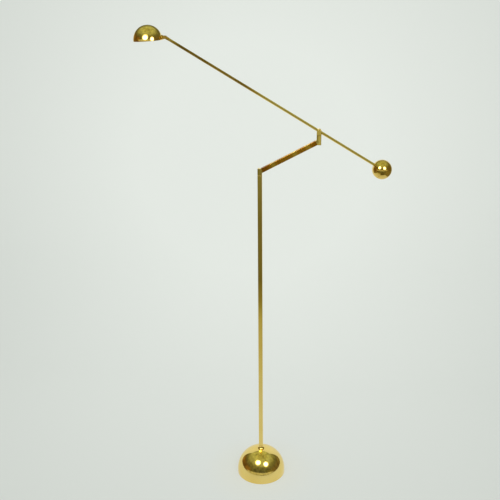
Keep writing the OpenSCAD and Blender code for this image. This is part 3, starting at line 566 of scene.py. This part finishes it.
def humps(t, rows):
    """Sum of bell curves at t, each row with its middle, width and amount."""
    middle, width, amount = np.array(rows).T[..., None]
    return (amount * np.exp(-((t - middle) / width) ** 2)).sum(axis=0)


def leave_gold_and_light(piece, gold):
    """Attribute that says how much gold is left at each point, from 0 to 1, with the painted reflections and
    shade that the caller adds.
    """
    layer = piece.data.attributes.new("gold_and_painted_light", "FLOAT", "POINT")
    layer.data.foreach_set("value", np.clip(gold, 0, 1).astype(np.float32))


# Darker bands on the arm's front length, browned brass with painted dark reflections: place from the
# shade's end to the fork, width and amount
ARM_DARK_BANDS = ((0.085, 0.06, -0.62), (0.22, 0.10, -0.66), (0.36, 0.06, -0.25), (0.485, 0.10, -0.58))
ARM_STEPS = 80


def make_arm():
    """Front and rear lengths of the arm; the front is darker in bands towards the shade, as its attribute
    says: browned brass with painted dark reflections.
    """
    front = arm_length("arm_front", "front_tube", ARM_BANDED_BRASS, ARM_STEPS)
    along = local_points(front.data, PIN, ARM_AXES)[:, 2]
    t = (along - along.min()) / (along.max() - along.min())
    # Painted dark reflections with the browning: darker bands along the front length
    leave_gold_and_light(front, 1 + humps(t, ARM_DARK_BANDS))
    arm_length("arm_rear", "rear_rod", BRASS)


def make_ball():
    """Ball of two spun halves that meet at a hairline; the inner half has the arm's hole."""
    low, high = reach("ball_outer_half", PIN, ARM_AXES)
    middle = PIN + low[2] * ARM_RUN
    for name, node, sign, hole in (("ball_far", "ball_outer_half", 1, 0.0),
                                   ("ball_near", "ball_inner_half", -1, ARM_HOLE_R)):
        profile = dome_profile(high[1], BALL_WALL, SEAM_EASE, 0.0, 0.0, hole)
        axes = ARM_AXES * np.array([1, sign, sign])[:, None]
        brass_piece(name, turned(profile, middle, axes), "arm", node, hole > 0, DEEP)


def make_shade():
    """Spun dome of the shade on its short skirt."""
    low, high = reach("shade_dome", HINGE, SHADE_AXES)
    radius = high[1]
    profile = dome_profile(radius, SHADE_WALL, SHADE_WALL * RIM_SHARE, high[2] - radius, low[2], 0.0)
    origin = HINGE + (low[0] + high[0]) / 2 * SHADE_AXES[0]
    brass_piece("shade", turned(profile, origin, SHADE_AXES), "shade", "shade_dome", wrap=False)


# Gold left in the link's tarnish: its level, waves with amount, rate along, rate across and start,
# patches with place from 0 to 1, width and amount, of which the three light ones are painted reflections
# and the two dark ones darken the ends, and the painted shade on the upper side with its reach
GOLD_LEVEL = 0.38
GOLD_WAVES = ((0.05, 31, 0, 1.3), (0.04, 57, 260, 0.4))
GLINT_AND_END_PATCHES = ((0.216, 0.05, 0.5), (0.60, 0.07, 0.45), (0.857, 0.05, 0.4),
                (0.0, 0.07, -0.3), (1.0, 0.06, -0.25))
UPPER_SHADE, UPPER_SHADE_REACH = 0.25, 0.25
LINK_STEPS = 160
# Brazed beads: radius, how deep they sit, and steps round
BEAD_R = 0.35 * MM
BEAD_SUNK = 0.2 * MM
BEAD_STEPS = 12


def make_link():
    """Sloping square tube of the crank; its attribute says how much gold the tarnish has left along it:
    a level, plus sine waves, plus bell curves whose light ones are painted reflections, less painted shade
    on the upper side near the foot."""
    link = square_tube("crank_link_tube", "crank_link", LINK_FOOT, LINK_AXES, "crank",
                       FINISH["brass_tarnished"], LINK_STEPS)
    low, high = reach("crank_link", LINK_FOOT, LINK_AXES)
    across, _, along = local_points(link.data, LINK_FOOT, LINK_AXES).T
    t = (along - low[2]) / (high[2] - low[2])
    upper = np.clip(-across / (high[0] - low[0]) * 2, 0, 1)
    # Painted light in the tarnish: the light bell curves are painted reflections, the upper side's loss is
    # painted shade
    gold = GOLD_LEVEL + humps(t, GLINT_AND_END_PATCHES) - UPPER_SHADE * upper * np.exp(-(t / UPPER_SHADE_REACH) ** 2)
    for amount, rate, slant, start in GOLD_WAVES:
        gold += amount * np.sin(rate * t + slant * across + start)
    leave_gold_and_light(link, gold)


def make_beads():
    """Brazed beads round the link's two ends: a small circle carried round the square section, along its
    normal."""
    low, high = reach("crank_link", LINK_FOOT, LINK_AXES)
    flat = square_section(high[1] - low[1], TUBE_CORNER, BEAD_SUNK)
    run = np.roll(flat, -1, axis=0) - np.roll(flat, 1, axis=0)
    out = np.stack([run[:, 1], -run[:, 0]], axis=1) / np.linalg.norm(run, axis=1)[:, None]
    turn = np.linspace(0, FULL_TURN, BEAD_STEPS, endpoint=False)
    ring = flat[:, None] + BEAD_R * np.cos(turn)[None, :, None] * out[:, None]
    for name, along in (("braze_low", low[2]), ("braze_high", high[2])):
        grid = (LINK_FOOT + ring[..., :1] * LINK_AXES[0] + ring[..., 1:] * LINK_AXES[1]
                + (along + BEAD_R * np.sin(turn))[None, :, None] * LINK_RUN)
        piece_from(name, grid, "crank", BRAZED, ())


# Easing of a machined piece: points closer than this are one, faces this flat are one, and steps
CAD_WELD = 1e-3 * MM
FLAT = math.radians(1.0)
EASE_STEPS = 3


def eased(name, node, body, finish=BRASS, slot="brass_polished"):
    """Copy of a machined node with its sharp edges eased by a bevel."""
    shape = bmesh.new()
    shape.from_mesh(frame["nodes"][node].data)
    bmesh.ops.remove_doubles(shape, verts=shape.verts, dist=CAD_WELD)
    bmesh.ops.dissolve_limit(shape, angle_limit=FLAT, verts=shape.verts, edges=shape.edges)
    mesh = bpy.data.meshes.new(name)
    shape.to_mesh(mesh)
    shape.free()
    piece = finished(name, mesh, body, finish, (node,))
    bevel = piece.modifiers.new("ease", "BEVEL")
    bevel.width, bevel.segments, bevel.limit_method = EDGE_EASE, EASE_STEPS, "ANGLE"
    bevel.angle_limit = SHARP
    bevel.harden_normals = True


# Knob: ease as a share of its length, the crown's radius against the knob's, where the flutes start
# as a share of the radius, their number and depth, and steps along the crown and the side
KNOB_EASE = 0.1
CROWN_BIG = 8
FLUTE_START = 0.85
FLUTES = 18
FLUTE_DEPTH = 0.5 * MM
CROWN_STEPS, KNOB_SIDE_STEPS = 12, 24


def make_knob():
    """Turned knob: radius along its axis from a rounded profile, less flutes as a power of a cosine
    round it."""
    pivot = JOINT_PLACE["switch_turn"]
    _, high = reach("switch_knob", pivot, KNOB_AXES)
    radius, top = high[0], high[2]
    ease = KNOB_LENGTH * KNOB_EASE
    foot = top - KNOB_LENGTH
    edge_r, crown_r = radius - ease, CROWN_BIG * radius
    crown_end = 90 - math.degrees(math.asin(edge_r / crown_r))
    crown = arc((0, top - crown_r), crown_r, 90, crown_end, CROWN_STEPS)
    shoulder = crown[-1, 1] - ease
    side = np.stack([np.full(KNOB_SIDE_STEPS, radius),
                     np.linspace(shoulder, foot + ease, KNOB_SIDE_STEPS)], axis=1)
    profile = np.concatenate([
        crown, arc((edge_r, shoulder), ease, 80, 10, CORNER_STEPS), side,
        arc((edge_r, foot + ease), ease, -10, -90, CORNER_STEPS), [[0.0, foot]],
    ])
    t = np.linspace(0, FULL_TURN, AROUND, endpoint=False)
    fluted = np.clip((profile[:, 0] / radius - FLUTE_START) / (1 - FLUTE_START), 0, 1)
    groove = FLUTE_DEPTH * (0.5 + 0.5 * np.cos(FLUTES * t)) ** 2
    r = profile[:, :1] - fluted[:, None] * groove[None, :]
    grid = (pivot + (r * np.cos(t))[..., None] * KNOB_AXES[0] + (r * np.sin(t))[..., None] * KNOB_AXES[1]
            + profile[:, 1, None, None] * KNOB_AXES[2])
    brass_piece("switch_knob_turned", grid, "knob", "switch_knob", wrap=False)


# Filament: turns, radius of the coil and of its wire, where the coil starts along the bulb, how far
# out the second support stands in coil radii, steps, and a direction that no wire runs along
COIL_TURNS = 11
COIL_R = 0.55 * MM
COIL_WIRE_R = 0.14 * MM
COIL_START = 0.38
SUPPORT_OUT = 3
TURN_STEPS, RISE_STEPS, CROSS_STEPS, FALL_STEPS, WIRE_STEPS = 40, 12, 10, 30, 8
ASKEW = np.array([0.3, 0.2, 0.93])


def make_filament():
    """Coiled filament: a thin circle carried along one support, round a helix and back down the other
    support."""
    low, high = reach("bulb_filament", HINGE, SHADE_AXES)
    foot, far = high[0], low[0]
    start = foot + (far - foot) * COIL_START
    turns = np.linspace(0, FULL_TURN * COIL_TURNS, TURN_STEPS * COIL_TURNS)
    rows = (
        (np.linspace(foot, start - COIL_WIRE_R, RISE_STEPS), COIL_R, 0.0),
        (np.linspace(start, far, turns.size), COIL_R * np.cos(turns), COIL_R * np.sin(turns)),
        (far, np.linspace(COIL_R, SUPPORT_OUT * COIL_R, CROSS_STEPS)[1:], 0.0),
        (np.linspace(far, foot, FALL_STEPS)[1:], SUPPORT_OUT * COIL_R, 0.0),
    )
    path = np.concatenate([np.stack(np.broadcast_arrays(*row), axis=1) for row in rows])
    run = np.gradient(path, axis=0)
    run /= np.linalg.norm(run, axis=1)[:, None]
    side = np.cross(run, ASKEW)
    side /= np.linalg.norm(side, axis=1)[:, None]
    turn = np.linspace(0, FULL_TURN, WIRE_STEPS, endpoint=False)
    ring = path[:, None] + COIL_WIRE_R * (np.cos(turn)[None, :, None] * side[:, None]
                                          + np.sin(turn)[None, :, None] * np.cross(run, side)[:, None])
    first, last = (np.repeat(end[:, None], WIRE_STEPS, axis=1) for end in (path[:1], path[-1:]))
    grid = HINGE + np.concatenate([first, ring, last]) @ SHADE_AXES
    piece_from("filament_coil", grid, "shade", FINISH["steel"], ("bulb_filament",), wrap=False)


# Machined pieces with eased edges: name, node, body, and finish and slot where they aren't polished brass
MACHINED = (
    ("foot_elbow", "crank_foot", "crank"), ("stub_elbow", "crank_stub", "crank"),
    ("fork", "fork_head", "fork"), ("pin_screw", "fork_pin", "fork"),
    ("pin_cap_nut", "fork_pin_nut", "fork"), ("hub", "arm_hub", "arm"),
    ("stud_hex", "stud_nut", "shade"), ("cap_cup", "holder_cap", "shade"),
    ("switch_ring", "switch_nut", "shade"), ("tip", "arm_tip", "tip", WORN),
    ("clevis", "shade_clevis", "shade", WORN), ("hinge_screw", "hinge_pin", "shade", WORN),
    ("hinge_hex", "hinge_nut", "shade", WORN),
    ("holder_body", "lamp_holder", "shade", FINISH["ceramic"], "ceramic"),
)

make_base()
make_collar()
square_tube("post", "post_tube", ORIGIN, WORLD_AXES, "base", BRASS)
make_link()
make_beads()
make_knob()
make_filament()
for row in MACHINED:
    eased(*row)
make_arm()
make_ball()
make_shade()

# Camera: where it stood, how it was turned, and its lens
CAMERA_FAR = 2.517
CAMERA_HEIGHT = 1.879
CAMERA_AROUND = math.radians(6.0)
CAMERA_DOWN = math.radians(20.1)
CAMERA_PAN = math.radians(-0.85)
CAMERA_ROLL = math.radians(-0.54)
LENS = 52.91
SENSOR = 36.0


def make_camera():
    """Camera on a circle round the post, turned by pan, tilt and roll."""
    eye = np.array([CAMERA_FAR * math.sin(CAMERA_AROUND), -CAMERA_FAR * math.cos(CAMERA_AROUND),
                    CAMERA_HEIGHT])
    yaw = CAMERA_AROUND - CAMERA_PAN
    level = math.cos(CAMERA_DOWN)
    ahead = np.array([-math.sin(yaw) * level, math.cos(yaw) * level, -math.sin(CAMERA_DOWN)])
    right = np.array([math.cos(yaw), math.sin(yaw), 0.0])
    over = np.cross(right, ahead)
    rolled = (math.cos(CAMERA_ROLL) * right + math.sin(CAMERA_ROLL) * over,
              math.cos(CAMERA_ROLL) * over - math.sin(CAMERA_ROLL) * right, -ahead)
    data = bpy.data.cameras.new("camera")
    data.lens, data.sensor_width, data.sensor_fit = LENS, SENSOR, "HORIZONTAL"
    camera = placed("camera", data)
    stood(camera, rolled, eye)
    bpy.context.scene.camera = camera


make_camera()

# Paper: its edges and height, its sweep, and its colours in the middle, at the edge and by the base
PAPER_LEFT, PAPER_RIGHT, PAPER_FRONT, PAPER_BACK, PAPER_TOP = -1.66, 1.30, -2.0, 1.17, 2.0
SWEEP_R, SWEEP_STEPS = 0.45, 24
PAPER = (0.825, 0.868, 0.82)
PAPER_EDGE = (0.665, 0.705, 0.66)
PAPER_BOUNCE_TINT = (0.735, 0.75, 0.66)
# The paper's brightest spot and how far its light reaches; the painted warm light that the brass throws
# on the paper round the base, its reach and share; and the share of the paper that takes the lamps' light
# and shadow for the camera
BRIGHT_SPOT, BRIGHT_REACH = (-0.17, 1.17, 1.0), (0.6, 2.0)
BOUNCE_REACH, BOUNCE_SHARE = (0.095, 0.24), (0.6, 0.0)
LIT_SHARE = 0.2
# How the paper darkens towards its front edge where metal mirrors it
PAPER_FADE = (
    (0.0, (0.26, 0.23, 0.09)), (0.115, (0.34, 0.30, 0.12)), (0.19, (0.42, 0.385, 0.16)),
    (0.275, (0.64, 0.60, 0.35)), (0.44, (0.74, 0.69, 0.49)), (0.575, (0.84, 0.82, 0.70)),
    (0.75, (0.91, 0.90, 0.93)), (1.0, (1.0, 1.0, 1.0)),
)
# Front right corner of the paper, which lies in shade where metal mirrors it
CORNER_SHADE = (0.17, 0.14, 0.05)
CORNER_ASIDE, CORNER_AHEAD = (-0.04, 0.1), (-0.7, -1.0)


def mirrored_fac(tree):
    """One for the rays that metal and glass send on, else nought."""
    path = wire_node(tree, "ShaderNodeLightPath")
    return counted(tree, "MAXIMUM", path.outputs["Is Glossy Ray"], path.outputs["Is Transmission Ray"])


def camera_fac(tree):
    """One for rays straight from the camera, else nought."""
    return wire_node(tree, "ShaderNodeLightPath").outputs["Is Camera Ray"]


def paper_finish():
    """Paper that is pale in the middle and warm by the base, where the brass's thrown light is painted;
    metal mirrors it darker towards the front, and the camera sees through its back."""
    made, tree, shader = new_finish("paper")
    place = wire_node(tree, "ShaderNodeTexCoord").outputs["Object"]
    fade = ranged(tree, distance(tree, place, BRIGHT_SPOT), BRIGHT_REACH)
    tint = ramp(tree, fade, ((0.0, PAPER), (1.0, PAPER_EDGE)))
    # Painted light: warm light thrown by the brass onto the paper round the base
    bounce = ranged(tree, distance(tree, place, (0.0, 0.0, 0.0)), BOUNCE_REACH, BOUNCE_SHARE)
    warm = mixed(tree, bounce, tint, (*PAPER_BOUNCE_TINT, 1.0))
    parts = wire_node(tree, "ShaderNodeSeparateXYZ", {0: place}).outputs
    along = ranged(tree, parts["Y"], (PAPER_FRONT, 0.0))
    corner = both_of(tree, step_up(tree, parts["X"], *CORNER_ASIDE), step_up(tree, parts["Y"], *CORNER_AHEAD))
    shaded = mixed(tree, corner, ramp(tree, along, PAPER_FADE), (*CORNER_SHADE, 1.0))
    dimmed = mixed(tree, mirrored_fac(tree), warm, mixed(tree, 1.0, warm, shaded, "MULTIPLY"))
    tree.links.new(warm, shader.inputs["Base Color"])
    shader.inputs["Roughness"].default_value = 1.0
    shader.inputs["Specular IOR Level"].default_value = 0.0
    even = wire_node(tree, "ShaderNodeEmission", {"Color": dimmed, "Strength": 1.0})
    seen = counted(tree, "MAXIMUM", camera_fac(tree), mirrored_fac(tree))
    flat = counted(tree, "MULTIPLY_ADD", camera_fac(tree), -LIT_SHARE, seen)
    lit = blended(tree, flat, shader.outputs[0], even.outputs[0])
    behind = wire_node(tree, "ShaderNodeNewGeometry").outputs["Backfacing"]
    clear = wire_node(tree, "ShaderNodeBsdfTransparent")
    both = blended(tree, both_of(tree, behind, camera_fac(tree)), lit, clear.outputs[0])
    tree.links.new(both, tree.nodes["Material Output"].inputs["Surface"])
    return made


def make_paper():
    """Paper sweep: flat from the front edge, round a quarter circle, and up."""
    bend = arc((PAPER_BACK - SWEEP_R, SWEEP_R), SWEEP_R, -90, 0, SWEEP_STEPS)
    run = np.concatenate([[[PAPER_FRONT, 0.0]], bend, [[PAPER_BACK, PAPER_TOP]]])
    grid = np.stack([np.column_stack([np.full(len(run), x), run]) for x in (PAPER_LEFT, PAPER_RIGHT)], axis=1)
    i = np.arange(len(run) - 1)
    faces = np.stack([2 * i, 2 * i + 1, 2 * i + 3, 2 * i + 2], axis=1)
    mesh = bpy.data.meshes.new("paper_sweep")
    mesh.from_pydata(grid.reshape(-1, 3).tolist(), [], faces.tolist())
    paper = placed("paper_sweep", smoothed(mesh))
    paper.data.materials.append(paper_finish())


# Room by the height of the direction, from straight down to straight up, and by its side, from left
# to right
ROOM_RISE = (
    (0.30, (0.15, 0.14, 0.051)), (0.35, (0.17, 0.165, 0.075)), (0.39, (0.225, 0.23, 0.135)),
    (0.44, (0.22, 0.22, 0.13)), (0.525, (0.11, 0.115, 0.07)), (0.675, (0.115, 0.12, 0.065)),
    (0.775, (0.19, 0.195, 0.08)), (0.85, (0.35, 0.385, 0.20)), (0.90, (0.41, 0.455, 0.25)),
    (0.945, (0.49, 0.54, 0.27)), (1.0, (0.40, 0.42, 0.19)),
)
ROOM_SIDES = (
    (0.0, (0.13, 0.08, 0.02)), (0.05, (0.25, 0.14, 0.03)), (0.11, (0.23, 0.145, 0.032)),
    (0.16, (0.12, 0.115, 0.04)), (0.275, (0.14, 0.14, 0.055)), (0.725, (0.13, 0.135, 0.05)),
    (0.9, (0.19, 0.16, 0.05)), (1.0, (0.16, 0.12, 0.045)),
)
# Where the sides begin, their upper and lower ends, and the floor below them
ASIDE, SIDE_TOP, SIDE_FOOT = (0.3, 0.55), (0.50, 0.15), (-0.45, -0.15)
SIDE_FLOOR = (0.22, 0.19, 0.07)
# Light strip of floor far in front: how far ahead it begins, its upper edge and softness, its lower end
AHEAD = (-0.3, -0.6)
FAR_FLOOR = (0.50, 0.49, 0.33)
FAR_RISE, FAR_SOFT, FAR_END = 0.176, 0.02, (-0.12, -0.05)
# Pale patch on the floor in front: its reach sideways and in height, and the softness of its edge
FAR_PATCH = (0.41, 0.42, 0.27)
PATCH_WIDE, PATCH_HIGH, PATCH_SOFT = (-0.037, 0.06), (-0.235, -0.17), 0.008
# Noise that breaks up the room, its range and the light it gives; and the plain light on everything else
GRAIN_SCALE, GRAIN_DETAIL = 4.5, 4.0
GRAIN_RANGE, GRAIN_LIGHT = (0.3, 0.7), (0.62, 1.42)
PLAIN_LIGHT = 0.45


def room_colour(tree, way):
    """Colour of the dim room by direction: lighter overhead, amber on the left, with a light strip of
    floor far in front."""
    parts = wire_node(tree, "ShaderNodeSeparateXYZ", {0: way}).outputs
    x, y, z = parts["X"], parts["Y"], parts["Z"]
    room = ramp(tree, counted(tree, "MULTIPLY_ADD", z, 0.5, 0.5), ROOM_RISE)
    sides = ramp(tree, counted(tree, "MULTIPLY_ADD", x, 0.5, 0.5), ROOM_SIDES)
    aside = step_up(tree, counted(tree, "ABSOLUTE", x, 0.0), *ASIDE)
    level = both_of(tree, step_up(tree, z, *SIDE_TOP), step_up(tree, z, *SIDE_FOOT))
    room = mixed(tree, both_of(tree, aside, level), room, sides)
    floor = both_of(tree, aside, step_up(tree, z, *SIDE_FOOT[::-1]))
    room = mixed(tree, floor, room, (*SIDE_FLOOR, 1.0))
    ahead = step_up(tree, y, *AHEAD)
    under = counted(tree, "MULTIPLY_ADD", y, FAR_RISE, z)
    strip = both_of(tree, step_up(tree, under, FAR_SOFT, -FAR_SOFT), step_up(tree, z, *FAR_END))
    room = mixed(tree, both_of(tree, strip, ahead), room, (*FAR_FLOOR, 1.0))
    patch = both_of(tree, band(tree, x, *PATCH_WIDE, PATCH_SOFT), band(tree, z, *PATCH_HIGH, PATCH_SOFT))
    return mixed(tree, both_of(tree, patch, ahead), room, (*FAR_PATCH, 1.0))


def make_world():
    """Pale for the camera; for metal and glass the dim room, broken up by soft noise; plain light for
    everything else."""
    world = bpy.data.worlds.new("studio")
    bpy.context.scene.world = world
    world.use_nodes = True
    tree = world.node_tree
    plain = tree.nodes["Background"]
    plain.inputs["Color"].default_value = (1.0, 1.0, 1.0, 1.0)
    plain.inputs["Strength"].default_value = PLAIN_LIGHT
    way = wire_node(tree, "ShaderNodeTexCoord").outputs["Generated"]
    broken = ranged(tree, noise(tree, way, GRAIN_SCALE, GRAIN_DETAIL), GRAIN_RANGE, GRAIN_LIGHT)
    room = wire_node(tree, "ShaderNodeBackground", {"Color": room_colour(tree, way), "Strength": broken})
    pale = wire_node(tree, "ShaderNodeBackground", {"Color": (*PAPER_EDGE, 1.0), "Strength": 1.0})
    seen = blended(tree, mirrored_fac(tree), plain.outputs[0], room.outputs[0])
    both = blended(tree, camera_fac(tree), seen, pale.outputs[0])
    tree.links.new(both, tree.nodes["World Output"].inputs["Surface"])


# Lamps: place, width and radiance; the glow from the middle to the rim; the spot they face; and the
# pieces that are flagged off from them
LAMPS = {"umbrella_left": (-0.52, -1.35, 2.22), "umbrella_right": (1.21, -1.44, 2.06)}
LAMP_WIDTH, LAMP_RADIANCE = 1.44, 7.0
LAMP_GLOW = (
    (0.0, (1.0, 1.0, 1.0)), (0.48, (1.0, 0.99, 0.96)), (0.66, (0.26, 0.25, 0.22)),
    (0.82, (0.10, 0.095, 0.08)), (1.0, (0.0, 0.0, 0.0)),
)
LAMP_MIDDLE = (0.5, 0.5, 0.0)
AIM = np.array([0.0, 0.0, 1.0])
SHIELDED = ("arm_front", "arm_rear", "hub", "tip", "clevis", "hinge_screw", "hinge_hex")


def make_lamps():
    """Round soft lamps that face the middle of the post, fade towards their rim, and are flagged off the
    arm and its hinge; power is radiance times pi times area."""
    flagged = bpy.data.collections.new("flagged")
    for name in SHIELDED:
        flagged.objects.link(bpy.data.objects[name])
    for row in flagged.collection_objects:
        row.light_linking.link_state = "EXCLUDE"
    for name, place in LAMPS.items():
        data = bpy.data.lights.new(name, "AREA")
        data.shape, data.size = "DISK", LAMP_WIDTH
        data.energy = LAMP_RADIANCE * math.pi * (math.pi * LAMP_WIDTH ** 2 / 4)
        data.use_nodes = True
        tree = data.node_tree
        spot = wire_node(tree, "ShaderNodeNewGeometry").outputs["Parametric"]
        away = counted(tree, "MULTIPLY", distance(tree, spot, LAMP_MIDDLE), 2.0)
        tree.links.new(ramp(tree, away, LAMP_GLOW), tree.nodes["Emission"].inputs["Color"])
        lamp = placed(name, data)
        lamp.light_linking.receiver_collection = flagged
        back = np.array(place) - AIM
        back /= np.linalg.norm(back)
        right = np.cross(UP, back)
        right /= np.linalg.norm(right)
        stood(lamp, (right, np.cross(back, right), back), place)


make_paper()
make_world()
make_lamps()
bpy.context.scene.view_settings.view_transform = "Standard"
